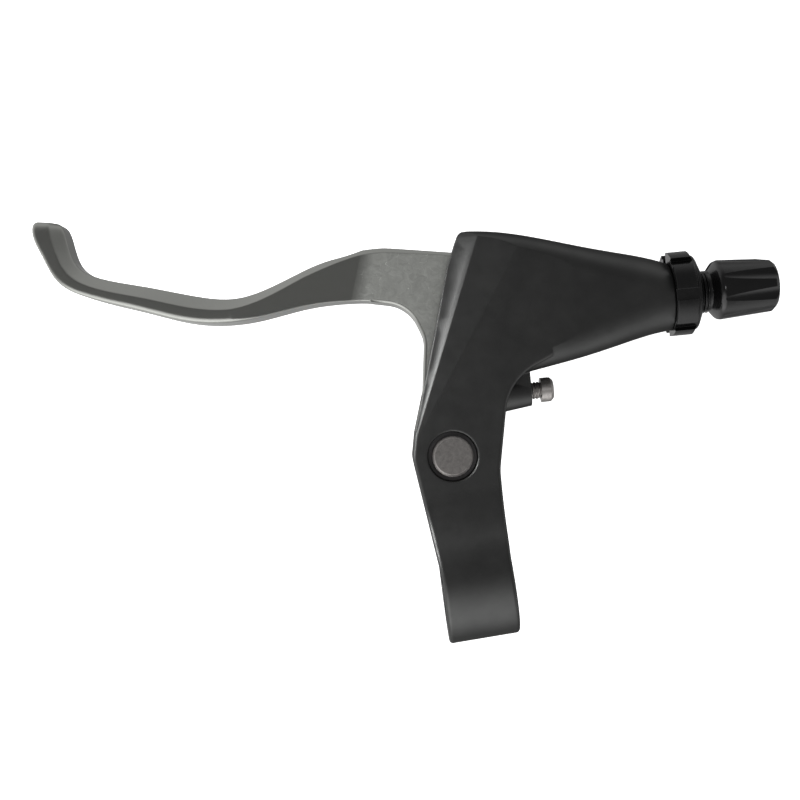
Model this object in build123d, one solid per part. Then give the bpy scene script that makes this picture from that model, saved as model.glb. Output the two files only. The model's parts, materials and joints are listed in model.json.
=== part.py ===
from build123d import *
from math import cos, hypot, pi, radians, sin, tan
import os

# Flat-bar cable brake lever, left hand, in millimetres.
# Origin: centre of the handlebar clamp. +X runs along the handlebar towards the cable adjuster,
# +Y from the handlebar to the lever blade, +Z up along the lever's pivot.

# Clearances
thread_play = 0.06
running_play = 0.04
press_play = 0.01
swing_play = 0.15

# Handlebar clamp
bar_diameter = 22.2
bar_play = 0.05
clamp_width = 15.9
clamp_wall = 4.05
clamp_flare = 2.4
clamp_slit = 1.6
clamp_slit_top = -5.6
clamp_lug_rise = 2.4
clamp_lug_reach = 4.95
clamp_lug_round = 3.0

# Clamp bolt
bolt_diameter = 6.0
bolt_wall = 1.5
bolt_length = 16.0
bolt_hole_spare = 1.5
bolt_head_diameter = 10.0
bolt_head_height = 4.6
bolt_head_chamfer = 0.5
bolt_socket_width = 5.0
bolt_socket_depth = 2.6

# Lever pivot
pivot_x = -0.7
pivot_y = 27.2
pin_diameter = 6.0
pin_head_diameter = 9.1
pin_head_height = 2.3
pin_head_chamfer = 0.55
pin_head_proud = 0.2
pin_end_chamfer = 0.4
pin_end_inset = 0.3
washer_diameter = 10.9
washer_thickness = 0.7
counterbore_diameter = 11.1
counterbore_rim = 0.25
clip_diameter = 9.4
clip_thickness = 0.8
clip_groove_diameter = 4.6
clip_opening = 3.8
clip_recess = 2.4
bush_diameter = 8.0
bush_flange_diameter = 12.0
bush_flange = 0.6
bush_sleeve = 1.5

# Return spring
spring_wire = 1.2
spring_radius = 4.9
spring_rise = 2.5
spring_start = 60.0
spring_turns = 660.0 / 360.0
spring_leg = 7.4
spring_room = 0.3

# Bracket arm and cheeks
cheek_half = 9.0
slot_wall_gap = 0.7
cavity_gap = 1.0
bay_roof = 3.4
arm_edge_round = 0.8
arm_blend = 18.0
arm_base_y = 4.0
arm_base_round = 30.0
arm_foot_x = -7.55
arm_foot_y = 0.5
arm_foot_round = 6.0
arm_right_x = 9.25
arm_right_y = 22.5
arm_right_round = 14.0
arm_left_x = -9.65
arm_left_y = 28.0
arm_left_round = 6.0
wing_corner_x = 14.4
wing_corner_y = 41.85
wing_corner_round = 12.5
cheek_back_x = 25.0
cheek_back_y = 45.6
cheek_front_y = 62.0

# Mouth of the bracket, where the lever comes out
mouth_low_x = -8.2
mouth_low_y = 33.5
mouth_mid_x = 5.0
mouth_mid_y = 68.8
mouth_top_x = 8.75
mouth_top_y = 76.4
mouth_top_round = 2.2
mouth_bow = 0.1
scoop_low_x = -9.6
scoop_low_y = 29.3
scoop_length = 40.0
scoop_width = 4.6
scoop_angle = 30.0
fall_x = -0.4
fall_y = 42.2
fall_heading = 53.0
fall_angle = 7.0

# Wing on the cable axis. Each station gives its distance behind the wing's end, its reach to the
# front, its reach to the handlebar, its half thickness and its corner radius.
cable_angle = -4.0
wing_end_x = 54.25
wing_end_y = 55.2
wing_stations = [
    (0.0, 7.15, 8.25, 7.7, 7.6),
    (14.0, 11.2, 10.9, 8.6, 6.6),
    (29.0, 15.3, 13.85, 9.2, 5.4),
    (43.0, 18.1, 16.8, 9.4, 5.2),
    (53.0, 18.1, 21.4, 9.4, 5.2),
    (63.0, 18.1, 31.4, 9.4, 5.2),
]

# Cable way through the wing
adjuster_hole_depth = 15.0
cable_channel = 5.0
cable_slot = 2.2

# Cable adjuster. The thread is plain, at its pitch diameter.
adjuster_thread = 9.35
adjuster_engaged = 12.0
adjuster_end_chamfer = 0.5
casing_diameter = 5.0
casing_play = 0.15
casing_seat_depth = 9.0
cable_hole = 2.4
neck_length = 2.15
knob_length = 15.0
knob_shoulder = 1.8
knob_shoulder_round = 1.6
knob_diameter = 13.75
knob_end_diameter = 12.1
knob_end_chamfer = 0.9
knob_flutes = 8
knob_flute_radius = 2.6
knob_flute_depth = 0.75

# Lock ring
ring_gap = 0.1
ring_diameter = 19.15
ring_lug_height = 1.1
ring_lug_slope = 0.7
ring_rim = 4.5
ring_collar = 5.6
ring_length = 7.0
ring_nose_diameter = 11.0
ring_lugs = 7
ring_groove = 2.5
ring_start_angle = 70.0

# Reach screw. The thread is plain, at its pitch diameter.
reach_x = 19.6
reach_y = 38.6
reach_diameter = 3.55
reach_head_diameter = 5.6
reach_head_length = 2.85
reach_head_chamfer = 0.7
reach_head_gap = 2.35
reach_tip_gap = 0.3
reach_tip_chamfer = 0.5
reach_slot_width = 0.9
reach_slot_depth = 1.1
reach_boss_diameter = 6.8
reach_boss_draft = 7.5
driver_room = 0.4

# Lever plate
lever_travel = 35.0
plate_half = 4.0
plate_edge_bevel = 0.8
plate_edge_round = 0.7
hub_radius = 7.2
root_x = -13.0
root_rise = 18.0
root_depth = 11.9
crest_x = -8.5
crest_drop = 0.2
crest_round = 20.0
heel_x = 13.2
heel_drop = 5.4
heel_round = 5.0
back_x = 13.9
back_y = 54.0
back_round = 12.0
waist_x = 8.8
waist_y = 40.5
waist_round = 14.0
finger_x = -2.45
finger_drop = 10.3
finger_round = 7.0
throat_x = -4.9
throat_drop = 2.3
throat_round = 8.4

# Lever blade. Each station gives the middle of the blade from the top of its root, the direction
# in which it runs, its thickness, its width, the outer bevel across the thickness and the inner
# edge radius.
blade_stations = [
    (0.0, -root_depth / 2, 180.0, root_depth, 12.0, 3.8, 0.9),
    (-7.9, -6.0, 189.0, 9.65, 12.0, 3.1, 0.9),
    (-19.2, -7.55, 190.0, 6.6, 12.0, 2.6, 1.0),
    (-29.0, -8.85, 184.0, 5.45, 12.0, 2.5, 1.1),
    (-38.0, -7.55, 160.0, 5.9, 12.0, 2.9, 1.2),
    (-50.5, -2.85, 159.0, 5.6, 11.8, 2.8, 1.2),
    (-61.0, 1.35, 155.0, 5.0, 11.2, 2.6, 1.1),
    (-66.6, 5.5, 127.0, 5.5, 10.8, 2.7, 1.1),
    (-68.6, 11.2, 105.0, 6.1, 10.6, 2.9, 1.2),
    (-69.35, 14.5, 95.0, 6.8, 10.2, 3.0, 1.2),
    (-69.7, 16.75, 86.0, 6.5, 9.0, 2.6, 1.1),
    (-69.9, 18.1, 78.0, 4.4, 5.8, 1.3, 0.8),
]
blade_bevel_share = 0.42
blade_edge_round = 0.4
pinch_gap = 0.2
pinch_turn = -21.0
pinch_length = 28.6
pinch_end_half = 6.2

# Cable hook in the lever's fork
hook_x = 8.3
hook_half = 2.0
hook_length = 10.0
hook_tail_radius = 3.6
hook_wall = 1.3
hook_pin_diameter = 4.0
hook_pin_chamfer = 0.3
hook_low_swing = -36.0
hook_high_swing = 4.0
hook_room = 0.6
nipple_diameter = 7.0
nipple_play = 0.1

# Longer than the part in every direction, and shorter than any of its edges
far = 200.0
near = 0.01

# Values that follow from the driving dimensions
bore_radius = bar_diameter / 2 + bar_play
ring_radius = bore_radius + clamp_wall
bolt_y = bore_radius + bolt_wall + bolt_diameter / 2
bolt_seat_z = clamp_lug_rise - ring_radius
clamp_lug_front = bolt_y + clamp_lug_reach
slot_half = plate_half + slot_wall_gap
pin_head_top = cheek_half + pin_head_proud
pin_head_base = pin_head_top - pin_head_height
counterbore_floor = pin_head_base - washer_thickness
clip_top = clip_recess - cheek_half
pin_bottom = pin_end_inset - cheek_half
spring_lead = spring_rise / (2 * pi * spring_radius * spring_turns)
spring_slot_half = spring_rise / 2 + spring_leg * spring_lead + spring_wire / 2 + spring_room
spring_pocket = spring_radius + spring_wire / 2 + spring_room
nipple_radius = nipple_diameter / 2 + nipple_play
hook_end_radius = nipple_radius + hook_wall
hook_y = wing_end_y - (wing_end_x - hook_x) * tan(radians(cable_angle))
root_top_y = hook_y + root_rise
root_low_y = root_top_y - root_depth
heel_y = root_top_y - heel_drop
finger_y = root_low_y - finger_drop
throat_y = root_low_y - throat_drop
knob_start = ring_gap + ring_length + neck_length
knob_end = knob_start + knob_length

cable_run = Vector(cos(radians(cable_angle)), sin(radians(cable_angle)), 0)
cable_side = Vector(-sin(radians(cable_angle)), cos(radians(cable_angle)), 0)
pivot = Pos(pivot_x, pivot_y, 0)
wing_end = Vector(wing_end_x, wing_end_y, 0)
reach_face = Vector(reach_x, reach_y, 0)
hook_pivot = Vector(hook_x, hook_y, 0)


def across_cable(point, distance=0.0):
    """A plane across the cable line: local X to the front, local Y up, local Z along the cable."""
    return Plane(origin=point + cable_run * distance, x_dir=cable_side, z_dir=cable_run)


def rod(radius, start, end):
    """A round bar on Z between two heights."""
    return Pos(0, 0, (start + end) / 2) * Cylinder(radius, end - start)


def block(low, high):
    """A box between two opposite corners."""
    size = [b - a for a, b in zip(low, high)]
    middle = [(a + b) / 2 for a, b in zip(low, high)]
    return Pos(*middle) * Box(*size)


def rounded_face(corners):
    """A face with a given radius at each corner."""
    points = [point for point, _ in corners]
    radii = [radius for _, radius in corners]
    return make_face(FilletPolyline(*points, radius=radii, close=True))


def thick(face, half):
    """A plan outline raised to the same height above and below the middle plane."""
    return extrude(face, amount=half, both=True)


# Lever plate and hub

def lever_plan():
    """Outline of the flat plate: blade root, throat, hub and the heel that carries the hook."""
    outline = rounded_face([
        ((root_x, root_top_y), 0),
        ((crest_x, root_top_y - crest_drop), crest_round),
        ((heel_x, heel_y), heel_round),
        ((back_x, back_y), back_round),
        ((waist_x, waist_y), waist_round),
        ((pivot_x + hub_radius, pivot_y), 0),
        ((pivot_x - hub_radius, pivot_y), 0),
        ((finger_x, finger_y), finger_round),
        ((throat_x, throat_y), throat_round),
        ((root_x, root_low_y), 0),
    ])
    return outline + pivot * Circle(hub_radius)


def hook_end(pull, swing, room):
    """Circle round the hook's end, with the lever pulled and the hook swung by these angles."""
    carried = pivot * Rot(0, 0, pull) * Pos(hook_x - pivot_x, hook_y - pivot_y)
    turned = carried * Rot(0, 0, cable_angle + swing) * Pos(hook_length, 0)
    return (turned * Circle(hook_end_radius + room)).edges()


def hook_fan(room):
    """Outlines of the hook over its swing in the lever's fork."""
    edges = (Pos(hook_pivot) * Circle(hook_tail_radius + room)).edges()
    for swing in (hook_low_swing, (hook_low_swing + hook_high_swing) / 2, hook_high_swing):
        edges += hook_end(0, swing, room)
    return edges


def blade_section(away, rise, heading, thickness, width, bevel, inner_round):
    """Cross-section of the blade: bevelled towards the front, rounded towards the fingers."""
    run = (cos(radians(heading)), sin(radians(heading)), 0)
    outward = (sin(radians(heading)), -cos(radians(heading)), 0)
    half = thickness / 2
    side = width / 2
    crown = side * (1 - blade_bevel_share)
    section = rounded_face([
        ((half, crown), blade_edge_round),
        ((half - bevel, side), blade_edge_round),
        ((-half, side), inner_round),
        ((-half, -side), inner_round),
        ((half - bevel, -side), blade_edge_round),
        ((half, -crown), blade_edge_round),
    ])
    middle = (root_x + away, root_top_y + rise, 0)
    return Plane(origin=middle, x_dir=outward, z_dir=run) * section


def lever_blade():
    """Forged blade, pinched to the plate's thickness by two sloping flats."""
    blade = loft([blade_section(*station) for station in blade_stations])
    above = Polyline(
        (-far, far),
        (-far, pinch_end_half),
        (-pinch_length, pinch_end_half),
        (0, plate_half),
        (far, plate_half),
        (far, far),
        close=True,
    )
    jaw = extrude(Plane.XZ * make_face(above), amount=far, both=True)
    jaw = Pos(root_x - pinch_gap, root_top_y) * Rot(0, 0, pinch_turn) * jaw
    return blade - jaw - mirror(jaw, about=Plane.XY)


def lever_plate():
    """Flat plate, bevelled along its front edge and rounded towards the fingers."""
    plate = thick(lever_plan(), plate_half)
    rims = [edge for edge in plate.edges() if abs((edge @ 0.5).Z) > plate_half - near]
    front = [edge for edge in rims if (edge @ 0.5).Y > heel_y - heel_round and abs((edge % 0.5).X) > near]
    plate = chamfer(front, plate_edge_bevel)
    rims = [edge for edge in plate.edges() if abs((edge @ 0.5).Z) > plate_half - near]
    finger = [edge for edge in rims if pivot_y < (edge @ 0.5).Y < root_low_y and (edge @ 0.5).X < 0]
    return fillet(finger, plate_edge_round)


def make_lever():
    lever = lever_blade() + lever_plate()
    lever -= pivot * rod(bush_diameter / 2 + press_play, -far, far)
    pocket = rod(spring_pocket, -spring_slot_half, spring_slot_half)
    mouth = block(
        (0, -hub_radius - cavity_gap, -spring_slot_half),
        (far, spring_radius - spring_wire - spring_room, spring_slot_half),
    )
    groove = block(
        (spring_radius - spring_wire / 2 - spring_room, 0, -spring_slot_half),
        (spring_radius + spring_wire / 2 + press_play, spring_leg + spring_wire, spring_slot_half),
    )
    lever -= pivot * (pocket + mouth + groove)
    lever -= thick(make_hull(hook_fan(hook_room)), hook_half + swing_play)
    lever -= Pos(hook_pivot) * rod(hook_pin_diameter / 2 + press_play, -far, far)
    return lever


# Bracket

def wing_section(back, front_reach, bar_reach, half, corner):
    """Cross-section of the wing, from a round end to a flat-sided mouth."""
    face = Pos((front_reach - bar_reach) / 2, 0) * RectangleRounded(
        front_reach + bar_reach, 2 * half, corner
    )
    return across_cable(wing_end, -back) * face


def cheek_plan():
    """Plan of the arm and the cheeks, from the clamp to the underside of the wing."""
    half = clamp_width / 2
    side = FilletPolyline(
        (mouth_mid_x, mouth_mid_y),
        (cheek_back_x, cheek_front_y),
        (cheek_back_x, cheek_back_y),
        (wing_corner_x, wing_corner_y),
        (arm_right_x, arm_right_y),
        (half, arm_base_y),
        (half, -far),
        (arm_foot_x - far * tan(radians(clamp_flare)), -far),
        (arm_foot_x, arm_foot_y),
        (arm_left_x, arm_left_y),
        (mouth_low_x, mouth_low_y),
        radius=[
            0, 0, wing_corner_round, arm_right_round, arm_base_round,
            0, 0, arm_foot_round, arm_left_round,
        ],
    )
    return make_face(side + mouth_edge())


def mouth_edge():
    """The slightly bowed edge of the cheeks over the lever."""
    return SagittaArc((mouth_mid_x, mouth_mid_y), (mouth_low_x, mouth_low_y), mouth_bow)


def side_profile():
    """Side view of the arm: the ring, the arm's rise to it, and the lug under the slit."""
    ring = Circle(ring_radius)
    arm = Pos(mouth_mid_y / 2, 0) * Rectangle(mouth_mid_y, 2 * cheek_half)
    profile = ring + arm
    joint = max(profile.vertices(), key=lambda v: v.Y - abs(v.X - ring_radius))
    profile = fillet(joint, arm_blend)
    lug = rounded_face([
        ((0, 0), 0),
        ((0, bolt_seat_z), 0),
        ((clamp_lug_front, bolt_seat_z), clamp_lug_round),
        ((clamp_lug_front, 0), 0),
    ])
    slit_low = clamp_slit_top - clamp_slit
    slit = Polyline(
        (0, clamp_slit_top),
        (clamp_lug_front + clamp_slit, clamp_slit_top),
        (clamp_lug_front + clamp_slit, -far),
        (clamp_lug_front, -far),
        (clamp_lug_front, slit_low),
        (0, slit_low),
        close=True,
    )
    return profile + lug - make_face(slit) - Circle(bore_radius)


def rounded_arm():
    """Arm and ring with their outer edges rounded."""
    arm = thick(cheek_plan(), far) & extrude(Plane.YZ * side_profile(), amount=far, both=True)
    edges = []
    for edge in arm.edges():
        middle = edge @ 0.5
        reach = hypot(middle.Y, middle.Z)
        on_ring = abs(reach - ring_radius) < near
        on_face = reach > ring_radius and abs(middle.Z) > cheek_half - near and middle.Y < cheek_back_y
        if edge.bounding_box().size.Y > near and (on_ring or on_face):
            edges.append(edge)
    return fillet(edges, arm_edge_round)


def bracket_blank():
    """Arm, ring and wing before anything is cut into them."""
    wing = loft([wing_section(*station) for station in wing_stations])
    wing &= block((-far, -far, -cheek_half), (far, far, cheek_half))
    outside = make_face(
        mouth_edge()
        + FilletPolyline(
            (mouth_low_x, mouth_low_y),
            (arm_left_x, arm_left_y),
            (arm_left_x - far, arm_left_y),
            (arm_left_x - far, mouth_top_y + far),
            (mouth_top_x + far, mouth_top_y + far),
            (mouth_top_x + far, mouth_top_y),
            (mouth_top_x, mouth_top_y),
            (mouth_mid_x, mouth_mid_y),
            radius=[0, 0, 0, 0, 0, mouth_top_round],
        )
    )
    wing -= thick(outside, far)
    return rounded_arm() + wing + reach_boss()


def reach_boss():
    """Boss of the reach screw, with the draft of the casting."""
    face = reach_boss_diameter / 2
    root = face + reach_x * tan(radians(reach_boss_draft))
    boss = Pos(0, 0, -reach_x / 2) * Cone(root, face, reach_x)
    web = block((0, -face, -reach_x), (reach_boss_diameter, face, 0))
    return across_cable(reach_face) * (boss + web)


def lever_cavity():
    """Room between the cheeks for the lever, its hook and their travel."""
    floor_y = pivot_y - hub_radius - cavity_gap
    swing = Polyline(
        (pivot_x, floor_y),
        (pivot_x - far, floor_y),
        (pivot_x - far, mouth_mid_y),
        (mouth_mid_x, mouth_mid_y),
        close=True,
    )
    room = offset(lever_plan(), cavity_gap) + make_face(swing)
    notch = pivot * block(
        (hub_radius, -spring_wire - spring_room, -spring_slot_half),
        (spring_radius + spring_leg / 2 + spring_wire, spring_wire + spring_room, 0),
    )
    return thick(room, slot_half) + notch


def hook_bay():
    """Bay round the hook, open underneath, where the cable's nipple is put in."""
    room = 2 * hook_room
    plan = make_hull(hook_fan(room) + hook_end(lever_travel / 3, hook_high_swing, room))
    return Pos(0, 0, cheek_half - bay_roof) * extrude(plan, amount=-far)


def fall_edge():
    """Line on the cheek's face from which it falls towards the mouth."""
    return Axis((fall_x, fall_y, cheek_half), Vector(1, 0, 0).rotate(Axis.Z, fall_heading))


def mouth_scoop():
    """Hollow that thins the fallen cheek along the mouth, widening from its low end."""
    low = Vector(scoop_low_x, scoop_low_y, cheek_half)
    level = (Vector(mouth_mid_x, mouth_mid_y, cheek_half) - low).normalized()
    radius = scoop_width / sin(radians(scoop_angle))
    rise = radius * cos(radians(scoop_angle))
    run = level * scoop_length + Vector(0, 0, rise)
    axis = Plane(origin=low + run, x_dir=Vector(0, 0, 1).cross(level), z_dir=run)
    return (axis * Cone(0, 2 * radius, 2 * run.length)).rotate(fall_edge(), -fall_angle)


def cheek_fall():
    """Slight fall of the cheek's face towards the mouth."""
    edge = fall_edge()
    level = Plane(origin=edge.position, x_dir=edge.direction)
    return (level * block((-far, -near, 0), (far, far, far))).rotate(edge, -fall_angle)


def make_bracket():
    body = bracket_blank()
    for cut in (mouth_scoop(), cheek_fall()):
        body -= cut + mirror(cut, about=Plane.XY)
    body -= lever_cavity()
    body -= hook_bay()
    body -= pivot * rod(pin_diameter / 2 + running_play, -far, far)
    body -= pivot * rod(counterbore_diameter / 2, counterbore_floor, far)
    body -= pivot * rod(counterbore_diameter / 2, -far, clip_top)
    rim = Cone(counterbore_diameter / 2, counterbore_diameter / 2 + counterbore_rim, counterbore_rim)
    rim = pivot * Pos(0, 0, cheek_half - counterbore_rim / 2) * rim
    body -= rim + mirror(rim, about=Plane.XY)
    body -= Pos(0, bolt_y, 0) * rod(
        bolt_diameter / 2 + thread_play, -far, bolt_seat_z + bolt_length + bolt_hole_spare
    )
    cable = across_cable(wing_end)
    body -= cable * rod(adjuster_thread / 2 + thread_play, -adjuster_hole_depth, far)
    body -= cable * rod(cable_channel / 2, hook_x - wing_end_x, 0)
    body -= cable * cable_entry()
    reach = rod(reach_diameter / 2 + thread_play, -reach_x, far)
    reach += rod(reach_head_diameter / 2 + driver_room, reach_head_gap / 2, far)
    body -= across_cable(reach_face) * reach
    return body


# Pivot

def make_pivot_pin():
    pin = rod(pin_diameter / 2, pin_bottom, pin_head_base)
    pin = chamfer(pin.edges().group_by(Axis.Z)[0], pin_end_chamfer)
    head = rod(pin_head_diameter / 2, pin_head_base, pin_head_top)
    head = chamfer(head.edges().group_by(Axis.Z)[-1], pin_head_chamfer)
    groove_low = clip_top - clip_thickness - press_play
    groove = rod(pin_diameter, groove_low, clip_top) - rod(clip_groove_diameter / 2, groove_low, clip_top)
    return pivot * (pin + head - groove)


def make_pivot_washer():
    washer = rod(washer_diameter / 2, counterbore_floor, pin_head_base)
    return pivot * (washer - rod(pin_diameter / 2 + running_play, -far, far))


def make_pivot_clip():
    low = clip_top - clip_thickness
    clip = rod(clip_diameter / 2, low, clip_top)
    clip -= rod(clip_groove_diameter / 2 + press_play, low, clip_top)
    clip -= block((0, -clip_opening / 2, low), (far, clip_opening / 2, clip_top))
    return pivot * clip


def make_upper_bush():
    sleeve = rod(bush_diameter / 2, plate_half - bush_sleeve, plate_half + bush_flange)
    flange = rod(bush_flange_diameter / 2, plate_half, plate_half + bush_flange)
    return pivot * (sleeve + flange - rod(pin_diameter / 2 + running_play, -far, far))


def make_return_spring():
    """Torsion spring: a low leg against the bracket, a coil round the pin, a high leg in the lever."""
    pitch = spring_rise / spring_turns
    coil = pivot * Pos(0, 0, -spring_rise / 2) * Rot(0, 0, spring_start) * Helix(
        pitch, spring_rise, spring_radius
    )
    low_leg = Line(coil @ 0 - (coil % 0) * spring_leg, coil @ 0)
    high_leg = Line(coil @ 1, coil @ 1 + (coil % 1) * spring_leg)
    path = Wire([low_leg, coil, high_leg])
    section = Plane(origin=path @ 0, z_dir=path % 0) * Circle(spring_wire / 2)
    return sweep(section, path=path, is_frenet=True)


# Cable hook

def make_cable_hook():
    """Swivelling link: pinned in the lever's fork, with a cross bore for the cable's nipple."""
    tail = Circle(hook_tail_radius).edges()
    seat = (Pos(hook_length, 0) * Circle(hook_end_radius)).edges()
    hook = thick(make_hull(tail + seat), hook_half)
    hook -= rod(hook_pin_diameter / 2 + running_play, -far, far)
    hook -= Pos(hook_length, 0, 0) * rod(nipple_radius, -far, far)
    hook -= block(
        (hook_length, -cable_slot / 2, -cable_slot / 2),
        (hook_length + far, cable_slot / 2, far),
    )
    return Pos(hook_pivot) * Rot(0, 0, cable_angle) * hook


def make_cable_hook_pin():
    pin = rod(hook_pin_diameter / 2, -plate_half, plate_half)
    return Pos(hook_pivot) * chamfer(pin.edges().filter_by(GeomType.CIRCLE), hook_pin_chamfer)


# Screws and the cable adjuster

def make_clamp_bolt():
    shank = rod(bolt_diameter / 2, bolt_seat_z, bolt_seat_z + bolt_length)
    low = bolt_seat_z - bolt_head_height
    head = rod(bolt_head_diameter / 2, low, bolt_seat_z)
    head = chamfer(head.edges().group_by(Axis.Z)[0], bolt_head_chamfer)
    socket = extrude(RegularPolygon(bolt_socket_width / 2, 6, major_radius=False), bolt_socket_depth)
    return Pos(0, bolt_y, 0) * (shank + head - Pos(0, 0, low) * socket)


def reach_tip():
    """Where the reach screw's line meets the lever, as a distance from the boss's face."""
    line = Line(reach_face, reach_face - cable_run * reach_x)
    touch = line.intersect(lever_plan())
    return min((reach_face - vertex.center()).length for vertex in ShapeList(touch).vertices())


def make_reach_screw():
    tip = rod(reach_diameter / 2, reach_tip_gap - reach_tip(), reach_head_gap)
    tip = chamfer(tip.edges().group_by(Axis.Z)[0], reach_tip_chamfer)
    top = reach_head_gap + reach_head_length
    head = rod(reach_head_diameter / 2, reach_head_gap, top)
    head = chamfer(head.edges().group_by(Axis.Z)[-1], reach_head_chamfer)
    slot = block(
        (-far, -reach_slot_width / 2, top - reach_slot_depth), (far, reach_slot_width / 2, far)
    )
    return across_cable(reach_face) * (tip + head - slot)


def cable_entry():
    """The slot that lets the cable in from the front."""
    return block((0, -cable_slot / 2, -far), (far, cable_slot / 2, far))


def make_lock_ring():
    outer = ring_diameter / 2
    root = outer - ring_lug_height
    profile = Polyline(
        (0, 0),
        (outer, 0),
        (outer, ring_rim),
        (root, ring_rim + ring_lug_slope),
        (root, ring_collar),
        (ring_nose_diameter / 2, ring_length),
        (0, ring_length),
        close=True,
    )
    ring = Pos(0, 0, ring_gap) * revolve(Plane.XZ * make_face(profile), Axis.Z)
    groove = block((root, -ring_groove / 2, -far), (far, ring_groove / 2, far))
    for lug in range(ring_lugs):
        ring -= Rot(0, 0, ring_start_angle + 360 * (lug + 0.5) / ring_lugs) * groove
    ring -= rod(adjuster_thread / 2 + thread_play, -far, far)
    return across_cable(wing_end) * (ring - cable_entry())


def make_adjuster_barrel():
    """Threaded barrel and fluted knob in one piece, bored for the cable and its casing."""
    thread = adjuster_thread / 2
    profile = rounded_face([
        ((0, -adjuster_engaged), 0),
        ((thread - adjuster_end_chamfer, -adjuster_engaged), 0),
        ((thread, adjuster_end_chamfer - adjuster_engaged), 0),
        ((thread, knob_start), 0),
        ((knob_diameter / 2, knob_start + knob_shoulder), knob_shoulder_round),
        ((knob_end_diameter / 2, knob_end - knob_end_chamfer), 0),
        ((knob_end_diameter / 2 - knob_end_chamfer, knob_end), 0),
        ((0, knob_end), 0),
    ])
    barrel = revolve(Plane.XZ * profile, Axis.Z)
    shallow = Vector(knob_diameter / 2 + knob_flute_radius, 0, knob_start + knob_shoulder)
    deep = Vector(knob_end_diameter / 2 + knob_flute_radius - knob_flute_depth, 0, knob_end)
    run = deep - shallow
    flute = Plane(origin=shallow, x_dir=(0, 1, 0), z_dir=run) * rod(
        knob_flute_radius, -knob_shoulder, run.length + knob_shoulder
    )
    for turn in range(knob_flutes):
        barrel -= Rot(0, 0, 360 * (turn + 0.5) / knob_flutes) * flute
    barrel -= rod(cable_hole / 2, -far, far)
    barrel -= rod(casing_diameter / 2 + casing_play, knob_end - casing_seat_depth, far)
    return across_cable(wing_end) * (barrel - cable_entry())


upper_bush = make_upper_bush()
parts = {
    "bracket": make_bracket(),
    "clamp_bolt": make_clamp_bolt(),
    "pivot_pin": make_pivot_pin(),
    "pivot_washer": make_pivot_washer(),
    "pivot_clip": make_pivot_clip(),
    "return_spring": make_return_spring(),
    "lever": make_lever(),
    "upper_pivot_bush": upper_bush,
    "lower_pivot_bush": mirror(upper_bush, about=Plane.XY),
    "cable_hook": make_cable_hook(),
    "cable_hook_pin": make_cable_hook_pin(),
    "reach_screw": make_reach_screw(),
    "adjuster_lock_ring": make_lock_ring(),
    "adjuster_barrel": make_adjuster_barrel(),
}

os.makedirs("parts", exist_ok=True)
for name, solid in parts.items():
    export_step(solid, f"parts/{name}.step")
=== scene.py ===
import json
from math import cos, pi, radians, sin, tan

import bmesh
import bpy
from mathutils import Matrix, Vector


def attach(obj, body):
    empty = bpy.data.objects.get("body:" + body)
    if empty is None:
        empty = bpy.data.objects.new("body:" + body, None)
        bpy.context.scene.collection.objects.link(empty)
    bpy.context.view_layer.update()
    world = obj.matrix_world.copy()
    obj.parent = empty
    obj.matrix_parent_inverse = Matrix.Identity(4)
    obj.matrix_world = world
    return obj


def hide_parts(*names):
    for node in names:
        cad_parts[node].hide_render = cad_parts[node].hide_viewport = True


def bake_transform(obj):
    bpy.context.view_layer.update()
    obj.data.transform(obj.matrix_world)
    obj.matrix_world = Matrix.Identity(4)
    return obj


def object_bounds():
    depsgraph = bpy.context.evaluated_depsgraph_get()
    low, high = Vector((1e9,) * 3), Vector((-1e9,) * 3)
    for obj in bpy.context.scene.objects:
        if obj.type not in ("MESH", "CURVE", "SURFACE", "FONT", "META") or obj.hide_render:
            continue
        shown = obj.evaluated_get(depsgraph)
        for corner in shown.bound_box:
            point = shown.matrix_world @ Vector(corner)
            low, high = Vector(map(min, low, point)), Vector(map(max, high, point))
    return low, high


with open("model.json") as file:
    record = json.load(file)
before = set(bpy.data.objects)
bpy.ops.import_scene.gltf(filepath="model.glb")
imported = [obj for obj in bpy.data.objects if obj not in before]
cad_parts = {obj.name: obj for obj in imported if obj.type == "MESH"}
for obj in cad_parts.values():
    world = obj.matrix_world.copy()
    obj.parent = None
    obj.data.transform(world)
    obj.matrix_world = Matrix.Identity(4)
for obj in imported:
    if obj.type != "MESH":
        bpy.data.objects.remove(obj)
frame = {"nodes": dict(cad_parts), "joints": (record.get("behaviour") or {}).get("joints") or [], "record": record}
cad_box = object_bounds()
nodes = frame["nodes"]
joints = {joint["name"]: joint for joint in frame["joints"]}
slot_of = {part["node"]: part["material_slot"] for part in frame["record"]["subparts"]}

MM = 0.001
UP = Vector((0.0, 0.0, 1.0))


# Materials

NOISE_SPAN = (0.3, 0.7)  # where most of a noise's values lie
FLAT_SPAN = (0.9965, 0.9995)  # cosine of the tilt at which a face begins and ends to count as flat

BODY_GREY = (0.083, 0.0837, 0.083)
BODY_DARK = (0.077, 0.0777, 0.077)
BODY_LIGHT = (0.089, 0.0897, 0.0883)
BODY_RIM = (0.5, 0.5, 0.5, 1.0)  # keeps the coat dull where it is seen at a low angle

BLADE_GREY = (0.33, 0.334, 0.316)
BLADE_WORN = (0.95, 0.968, 0.92)
FOLD_TURN = radians(21.0)  # the line between the blade and its mottled root plate
FOLD_POINT = Vector((-13.2, 76.4, 0.0))
FOLD_SPAN = (-0.5, 3.0)

BLACK = (0.02, 0.02, 0.021)
BLACK_DARK = (0.003, 0.003, 0.0031)
BLACK_LIGHT = (0.005, 0.005, 0.0052)

STEEL_SHADE = 0.6  # worn places, as a share of the steel's colour
MOULDED_BLACK = (0.07, 0.066, 0.067)


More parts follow.
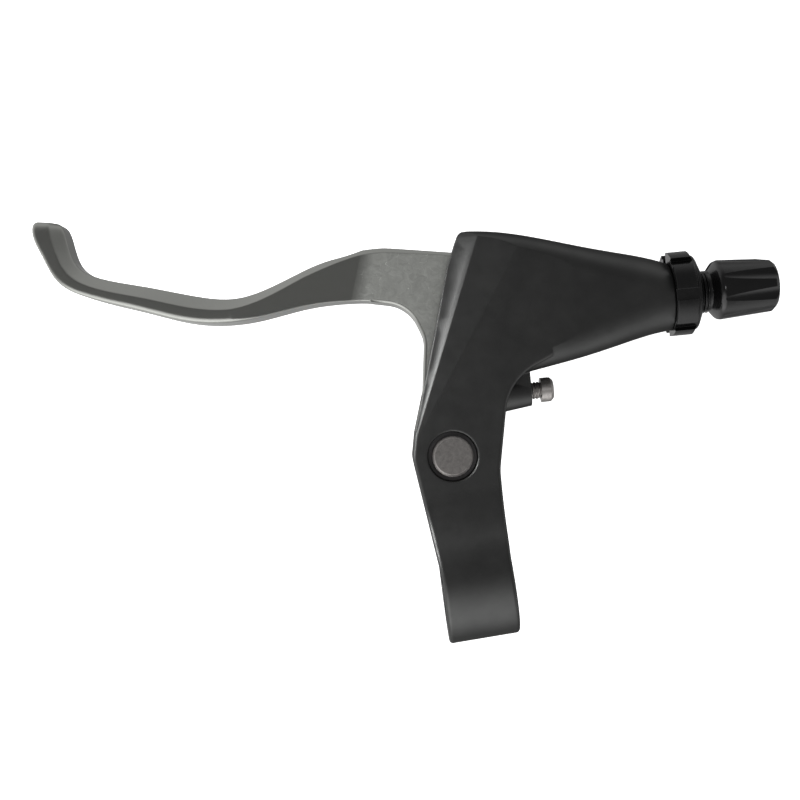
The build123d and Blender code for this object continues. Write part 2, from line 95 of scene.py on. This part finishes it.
class Graph:
    """Builds a node tree from short steps."""

    def __init__(self, tree):
        self.tree = tree

    def node(self, kind, **settings):
        made = self.tree.nodes.new(kind)
        for key, value in settings.items():
            setattr(made, key, value)
        return made

    def join(self, output, socket):
        self.tree.links.new(output, socket)

    def remap(self, value, low, high, to_low, to_high, smooth=False):
        """value from low..high spread over to_low..to_high, and held there."""
        kind = "SMOOTHSTEP" if smooth else "LINEAR"
        spread = self.node("ShaderNodeMapRange", interpolation_type=kind)
        spread.inputs["From Min"].default_value = low
        spread.inputs["From Max"].default_value = high
        spread.inputs["To Min"].default_value = to_low
        spread.inputs["To Max"].default_value = to_high
        self.join(value, spread.inputs["Value"])
        return spread.outputs["Result"]

    def math(self, operation, first, second):
        made = self.node("ShaderNodeMath", operation=operation)
        for socket, value in zip(made.inputs, (first, second)):
            if isinstance(value, float):
                socket.default_value = value
            else:
                self.join(value, socket)
        return made.outputs["Value"]

    def blend(self, share, first, second):
        """first where share is 0, second where it is 1."""
        step = self.math("MULTIPLY", self.math("SUBTRACT", second, first), share)
        return self.math("ADD", first, step)

    def dot(self, vector, direction):
        made = self.node("ShaderNodeVectorMath", operation="DOT_PRODUCT")
        self.join(vector, made.inputs[0])
        made.inputs[1].default_value = direction
        return made.outputs["Value"]


class Surface(Graph):
    """A procedural material whose texture is laid out in the object's own frame."""

    def __init__(self, name, base, metallic, roughness, edge_mm):
        self.material = bpy.data.materials.new(name)
        self.material.use_nodes = True
        super().__init__(self.material.node_tree)
        self.shader = self.tree.nodes["Principled BSDF"]
        self.shader.inputs["Base Color"].default_value = (*base, 1.0)
        self.shader.inputs["Metallic"].default_value = metallic
        self.shader.inputs["Roughness"].default_value = roughness
        self.place = self.node("ShaderNodeTexCoord").outputs["Object"]
        edge = self.node("ShaderNodeBevel", samples=6)
        edge.inputs["Radius"].default_value = edge_mm * MM
        self.normal = edge.outputs["Normal"]
        self.feed("Normal", self.normal)

    def feed(self, socket, output):
        self.join(output, self.shader.inputs[socket])

    def noise(self, size_mm, detail=3.0, roughness=0.55, swirl=0.0):
        """Noise whose lumps are about size_mm wide, from 0 to 1."""
        noise = self.node("ShaderNodeTexNoise")
        noise.inputs["Scale"].default_value = 1.0 / (size_mm * MM)
        noise.inputs["Detail"].default_value = detail
        noise.inputs["Roughness"].default_value = roughness
        noise.inputs["Distortion"].default_value = swirl
        self.join(self.place, noise.inputs["Vector"])
        return noise.outputs["Fac"]

    def uneven(self, size_mm, low, high, **look):
        """Noise spread over low..high."""
        return self.remap(self.noise(size_mm, **look), *NOISE_SPAN, low, high)

    def colours(self, factor, low, high):
        """A colour between low and high."""
        mix = self.node("ShaderNodeMix", data_type="RGBA")
        mix.inputs["A"].default_value = (*low, 1.0)
        mix.inputs["B"].default_value = (*high, 1.0)
        self.join(factor, mix.inputs["Factor"])
        return mix.outputs["Result"]

    def bump(self, height, depth_mm, strength=1.0):
        """Raises the surface by up to depth_mm where height is 1."""
        bump = self.node("ShaderNodeBump")
        bump.inputs["Strength"].default_value = strength
        bump.inputs["Distance"].default_value = depth_mm * MM
        self.join(height, bump.inputs["Height"])
        self.join(self.normal, bump.inputs["Normal"])
        self.normal = bump.outputs["Normal"]
        self.feed("Normal", self.normal)

    def facing_up(self):
        """1 on faces square to the pivot, 0 elsewhere."""
        geometry = self.node("ShaderNodeNewGeometry")
        level = self.math("ABSOLUTE", self.dot(geometry.outputs["True Normal"], UP), 0.0)
        return self.remap(level, *FLAT_SPAN, 0.0, 1.0)


def body_surface():
    """Dark grey satin anodising on the casting."""
    s = Surface("body_coat", BODY_GREY, metallic=1.0, roughness=0.42, edge_mm=0.45)
    smudge = s.noise(9.0, detail=4.0)
    shade = s.remap(smudge, 0.35, 0.65, 0.0, 1.0)
    s.feed("Base Color", s.colours(shade, BODY_DARK, BODY_LIGHT))
    s.shader.inputs["Specular Tint"].default_value = BODY_RIM
    s.feed("Roughness", s.uneven(2.5, 0.39, 0.44))
    s.bump(s.noise(0.16, detail=2.0), depth_mm=0.012)
    s.bump(smudge, depth_mm=0.03, strength=0.3)
    return s.material


def blade_surface():
    """Tumbled grey aluminium, mottled on the root plate and smooth along the blade."""
    s = Surface("blade_metal", BLADE_GREY, metallic=1.0, roughness=0.36, edge_mm=0.45)
    across = Vector((cos(FOLD_TURN), -sin(FOLD_TURN), 0.0))
    fold = [(FOLD_POINT.dot(across) + reach) * MM for reach in FOLD_SPAN]
    past_fold = s.remap(s.dot(s.place, across), *fold, 0.0, 1.0)
    plate = s.math("MULTIPLY", s.facing_up(), past_fold)
    patch = s.uneven(2.2, 0.0, 1.0, detail=4.0, roughness=0.6, swirl=1.6)
    contour = s.math("ABSOLUTE", s.math("SUBTRACT", s.noise(3.4, detail=1.0), 0.5), 0.0)
    thin_line = s.remap(contour, 0.002, 0.012, 1.0, 0.0)
    here_and_there = s.remap(s.noise(1.9, detail=2.0), 0.55, 0.6, 0.0, 1.0)
    scratch = s.math("MULTIPLY", thin_line, here_and_there)
    worn = s.math("MAXIMUM", s.remap(patch, 0.0, 1.0, 0.36, 0.6), scratch)
    s.feed("Base Color", s.colours(s.math("MULTIPLY", worn, plate), BLADE_GREY, BLADE_WORN))
    duller = s.math("MULTIPLY", plate, 0.2)
    s.feed("Roughness", s.math("ADD", s.uneven(0.5, 0.28, 0.35), duller))
    s.bump(s.math("MULTIPLY", patch, plate), depth_mm=0.05, strength=0.5)
    s.bump(s.noise(0.12), depth_mm=0.006)
    return s.material


def black_surface():
    """Black anodised aluminium with a soft gloss."""
    s = Surface("black_anodised", BLACK, metallic=0.0, roughness=0.3, edge_mm=0.2)
    s.feed("Roughness", s.uneven(1.2, 0.16, 0.24))
    s.feed("Base Color", s.colours(s.noise(3.0), BLACK_DARK, BLACK_LIGHT))
    s.bump(s.noise(0.2), depth_mm=0.006)
    return s.material


def steel_surface(name, base, roughness):
    """Steel that is a little worn and uneven."""
    s = Surface(name, base, metallic=1.0, roughness=roughness, edge_mm=0.12)
    darker = tuple(STEEL_SHADE * part for part in base)
    mottle = s.noise(0.9, detail=5.0, roughness=0.7, swirl=0.8)
    s.feed("Base Color", s.colours(s.remap(mottle, 0.25, 0.65, 0.0, 1.0), darker, base))
    s.feed("Roughness", s.uneven(0.3, roughness - 0.05, roughness + 0.07))
    s.bump(s.noise(0.25, detail=4.0), depth_mm=0.008)
    return s.material


def moulded_surface():
    """Matt black moulded plastic."""
    s = Surface("black_moulded", MOULDED_BLACK, metallic=0.0, roughness=0.5, edge_mm=0.1)
    s.feed("Roughness", s.uneven(0.4, 0.45, 0.58))
    s.bump(s.noise(0.15), depth_mm=0.006)
    return s.material


surfaces = {
    "body": body_surface(),
    "blade": blade_surface(),
    "adjuster": black_surface(),
    "steel": steel_surface("plated_steel", (0.44, 0.418, 0.404), roughness=0.42),
    "spring_steel": steel_surface("spring_wire", (0.55, 0.55, 0.55), roughness=0.25),
    "black_steel": steel_surface("blackened_steel", (0.05, 0.05, 0.052), roughness=0.38),
    "black_plastic": moulded_surface(),
}


def dress(piece, slot):
    """Gives a piece the one material of its slot."""
    piece.data.materials.clear()
    piece.data.materials.append(surfaces[slot])


for name, node in nodes.items():
    dress(node, slot_of[name])


# Shared steps for the pieces that the scene adds

def free_copy(node, name):
    """A copy of a CAD node that stands on its own, in the node's place."""
    piece = nodes[node].copy()
    piece.data = nodes[node].data.copy()
    piece.name = name
    piece.parent = None
    piece.matrix_world = Matrix.Identity(4)
    bpy.context.collection.objects.link(piece)
    return piece


def closed_sweep(name, mesh, runs):
    """An object from runs of rings of points, each run skinned and closed at its ends."""
    for rings in runs:
        for one, two in zip(rings, rings[1:]):
            for corner in range(len(one)):
                after = (corner + 1) % len(one)
                mesh.faces.new((one[corner], one[after], two[after], two[corner]))
        mesh.faces.new(rings[0])
        mesh.faces.new(reversed(rings[-1]))
    bmesh.ops.recalc_face_normals(mesh, faces=mesh.faces)
    data = bpy.data.meshes.new(name)
    mesh.to_mesh(data)
    mesh.free()
    made = bpy.data.objects.new(name, data)
    bpy.context.collection.objects.link(made)
    return made


# The lever's root has a bevel along its top edge, in millimetres

EDGE_LINE = (
    (-31.8, 71.15, 5.2), (-28.0, 72.02, 4.92), (-22.7, 73.5, 4.56),
    (-18.4, 74.55, 4.28), (-15.45, 75.06, 4.09), (-11.9, 75.27, 4.0),
    (-8.5, 75.0, 4.0), (-1.6, 73.6, 4.0), (15.0, 69.9, 4.0),
)
EDGE_FALL = radians(42.0)
EDGE_REACH = 3.0
WELD = 0.001
SHARP_FROM = radians(11.0)


def edge_cutter(side):
    """Wedge along the line, for the upper side (1) or the lower side (-1)."""
    mesh = bmesh.new()
    line = [Vector(point) for point in EDGE_LINE]
    rings = []
    for place, point in enumerate(line):
        run = line[min(place + 1, len(line) - 1)] - line[max(place - 1, 0)]
        low = point + (UP.cross(run).normalized() - UP * tan(EDGE_FALL)) * EDGE_REACH
        corners = (point, low, low + 2 * UP * EDGE_REACH, point + UP * EDGE_REACH)
        rings.append([mesh.verts.new((v.x * MM, v.y * MM, side * v.z * MM)) for v in corners])
    return closed_sweep("edge_cutter", mesh, [rings])


def bevelled_lever():
    """The lever with the edge taken off on both sides."""
    piece = free_copy("lever", "lever_forging")
    weld = bmesh.new()
    weld.from_mesh(piece.data)
    bmesh.ops.remove_doubles(weld, verts=weld.verts, dist=WELD * MM)
    weld.to_mesh(piece.data)
    weld.free()
    cutters = [edge_cutter(1), edge_cutter(-1)]
    for cutter in cutters:
        cut = piece.modifiers.new("edge", "BOOLEAN")
        cut.operation = "DIFFERENCE"
        cut.solver = "EXACT"
        cut.object = cutter
    bpy.context.view_layer.update()
    evaluated = piece.evaluated_get(bpy.context.evaluated_depsgraph_get())
    cut_mesh = bpy.data.meshes.new_from_object(evaluated)
    piece.modifiers.clear()
    piece.data = cut_mesh
    for cutter in cutters:
        bpy.data.objects.remove(cutter)
    piece.data.shade_smooth()
    piece.data.set_sharp_from_angle(angle=SHARP_FROM)
    even = piece.modifiers.new("even_normals", "WEIGHTED_NORMAL")
    even.keep_sharp = True
    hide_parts("lever")
    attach(piece, "lever")
    return piece


lever = bevelled_lever()


# The return spring between the bracket and the lever, copied out of its CAD node with its place baked into the
# mesh

spring = free_copy("return_spring", "return_spring_wire")
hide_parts("return_spring")
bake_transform(spring)


# Screw threads, where they are in sight

TURN_STEPS = 48
FOOT_HALF = 0.45  # half widths of the ridge, as shares of the pitch
CREST_HALF = 0.09
RUN_OUT_STEPS = 3
RUN_OUT_HEIGHT = 0.15  # height at which a ridge begins, as a share of the full height


def thread_arcs(start, end, pitch, gap):
    """Stretches of a helix as lists of (turn angle, place along the axis), open at the gap."""
    total = (end - start) / pitch
    arcs = [[]]
    for step in range(round(total * TURN_STEPS) + 1):
        turned = step / TURN_STEPS
        if abs((turned + 0.5) % 1.0 - 0.5) * 2 * pi < gap:
            arcs.append([])
        else:
            arcs[-1].append((2 * pi * turned, start + pitch * turned))
    return [arc for arc in arcs if len(arc) > 2]


def add_thread(name, body, joint, start, end, root, crest, pitch, gap=0.0):
    """A ridge wound round a screw, in millimetres from the joint's origin along its axis."""
    origin = Vector(joints[joint]["pos_m"])
    run = Vector(joints[joint]["axis"]).normalized()
    side = UP.cross(run)
    mesh = bmesh.new()
    runs = []
    for arc in thread_arcs(start, end, pitch, gap):
        rings = []
        for place, (angle, along) in enumerate(arc):
            from_end = min(place, len(arc) - 1 - place)
            share = min(1.0, RUN_OUT_HEIGHT + from_end / RUN_OUT_STEPS)
            height = root + (crest - root) * share
            outward = side * cos(angle) + UP * sin(angle)
            profile = (
                (root, -FOOT_HALF), (height, -CREST_HALF),
                (height, CREST_HALF), (root, FOOT_HALF),
            )
            ring = []
            for radius, shift in profile:
                point = origin + (outward * radius + run * (along + shift * pitch)) * MM
                ring.append(mesh.verts.new(point))
            rings.append(ring)
        runs.append(rings)
    ridge = closed_sweep(name, mesh, runs)
    slot = slot_of[body]
    dress(ridge, slot)
    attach(ridge, body)


add_thread(
    "adjuster_thread", "adjuster_barrel", "adjuster_turn",
    start=7.45, end=8.95, root=4.65, crest=5.0, pitch=0.75, gap=0.27,
)
add_thread(
    "reach_screw_thread", "reach_screw", "reach_screw_turn",
    start=0.35, end=2.05, root=1.75, crest=2.0, pitch=0.7,
)


# Floor, light and camera

FLOOR_SIZE = 60.0
FLOOR_LEVEL = -0.055
FLOOR_GLOW = 0.8

WALL_LIGHT = 0.9
WALL_FALL = (0.12, 0.16, 0.0)  # how much darker the walls get towards +X and +Y
CEILING_LIGHT = 0.19
CEILING_SPAN = (0.08, 0.65)
GROUND_LIGHT = (1.5, 0.3)
GROUND_ALONG_X = (-0.9, 0.1)
GROUND_SPAN = (-0.45, -0.1)
WINDOW_WAY = Vector((-0.42, -0.76, 0.5)).normalized()
WINDOW_SPAN = (0.7, 0.95)
WINDOW_LIGHT = 1.6

CAMERA_PLACE = Vector((-10.2, 41.5, 255.0)) * MM
CAMERA_TURN = radians(-9.5)


def add_floor():
    bpy.ops.mesh.primitive_plane_add(size=FLOOR_SIZE, location=(0.0, 0.0, FLOOR_LEVEL))
    floor = bpy.context.object
    floor.name = "floor"
    material = bpy.data.materials.new("floor_white")
    material.use_nodes = True
    shader = material.node_tree.nodes["Principled BSDF"]
    shader.inputs["Base Color"].default_value = (0.9, 0.9, 0.9, 1.0)
    shader.inputs["Roughness"].default_value = 0.9
    shader.inputs["Emission Color"].default_value = (1.0, 1.0, 1.0, 1.0)
    shader.inputs["Emission Strength"].default_value = FLOOR_GLOW
    floor.data.materials.append(material)
    floor.visible_glossy = False


def add_lamp(name, place, size, power, shaded):
    """A soft round lamp that faces the part, flagged off the shaded pieces."""
    light = bpy.data.lights.new(name, "AREA")
    light.shape = "DISK"
    light.size = size
    light.energy = power
    holder = bpy.data.objects.new(name, light)
    holder.location = place
    holder.visible_camera = False
    middle = (Vector(cad_box[0]) + Vector(cad_box[1])) / 2
    holder.rotation_euler = (middle - Vector(place)).to_track_quat("-Z", "Y").to_euler()
    bpy.context.collection.objects.link(holder)
    flag = bpy.data.collections.new(name + "_flag")
    for piece in shaded:
        flag.objects.link(piece)
    for held in flag.collection_objects:
        held.light_linking.link_state = "EXCLUDE"
    holder.light_linking.receiver_collection = flag


def add_world():
    """A pale room with a dark ceiling, a grey ground and a window on the handlebar's side."""
    world = bpy.data.worlds.new("studio")
    bpy.context.scene.world = world
    world.use_nodes = True
    graph = Graph(world.node_tree)
    towards = graph.node("ShaderNodeTexCoord").outputs["Generated"]
    height = graph.dot(towards, UP)
    along_x = graph.dot(towards, (1.0, 0.0, 0.0))
    walls = graph.math("SUBTRACT", WALL_LIGHT, graph.dot(towards, WALL_FALL))
    overhead = graph.remap(height, *CEILING_SPAN, 0.0, 1.0, smooth=True)
    light = graph.blend(overhead, walls, CEILING_LIGHT)
    ground = graph.remap(along_x, *GROUND_ALONG_X, *GROUND_LIGHT)
    underfoot = graph.remap(height, *GROUND_SPAN, 1.0, 0.0, smooth=True)
    light = graph.blend(underfoot, light, ground)
    near_window = graph.dot(towards, WINDOW_WAY)
    window = graph.remap(near_window, *WINDOW_SPAN, 0.0, WINDOW_LIGHT, smooth=True)
    background = world.node_tree.nodes["Background"]
    background.inputs["Color"].default_value = (1.0, 1.0, 1.0, 1.0)
    graph.join(graph.math("ADD", light, window), background.inputs["Strength"])


def add_camera():
    camera = bpy.data.cameras.new("camera")
    camera.lens = 50.0
    camera.sensor_width = 36.0
    camera.clip_start = 0.01
    holder = bpy.data.objects.new("camera", camera)
    holder.location = CAMERA_PLACE
    holder.rotation_euler = (0.0, 0.0, CAMERA_TURN)
    bpy.context.collection.objects.link(holder)
    bpy.context.scene.camera = holder


add_floor()
add_lamp(
    "top_lamp", place=(0.06, 0.06, 0.5), size=0.03, power=0.12,
    shaded=(lever, nodes["bracket"], nodes["pivot_pin"]),
)
add_lamp(
    "side_lamp", place=(-0.117, 0.098, 0.069), size=0.068, power=0.22,
    shaded=[lever] + [node for name, node in nodes.items() if name != "bracket"],
)
add_world()
add_camera()
bpy.context.scene.view_settings.view_transform = "Standard"
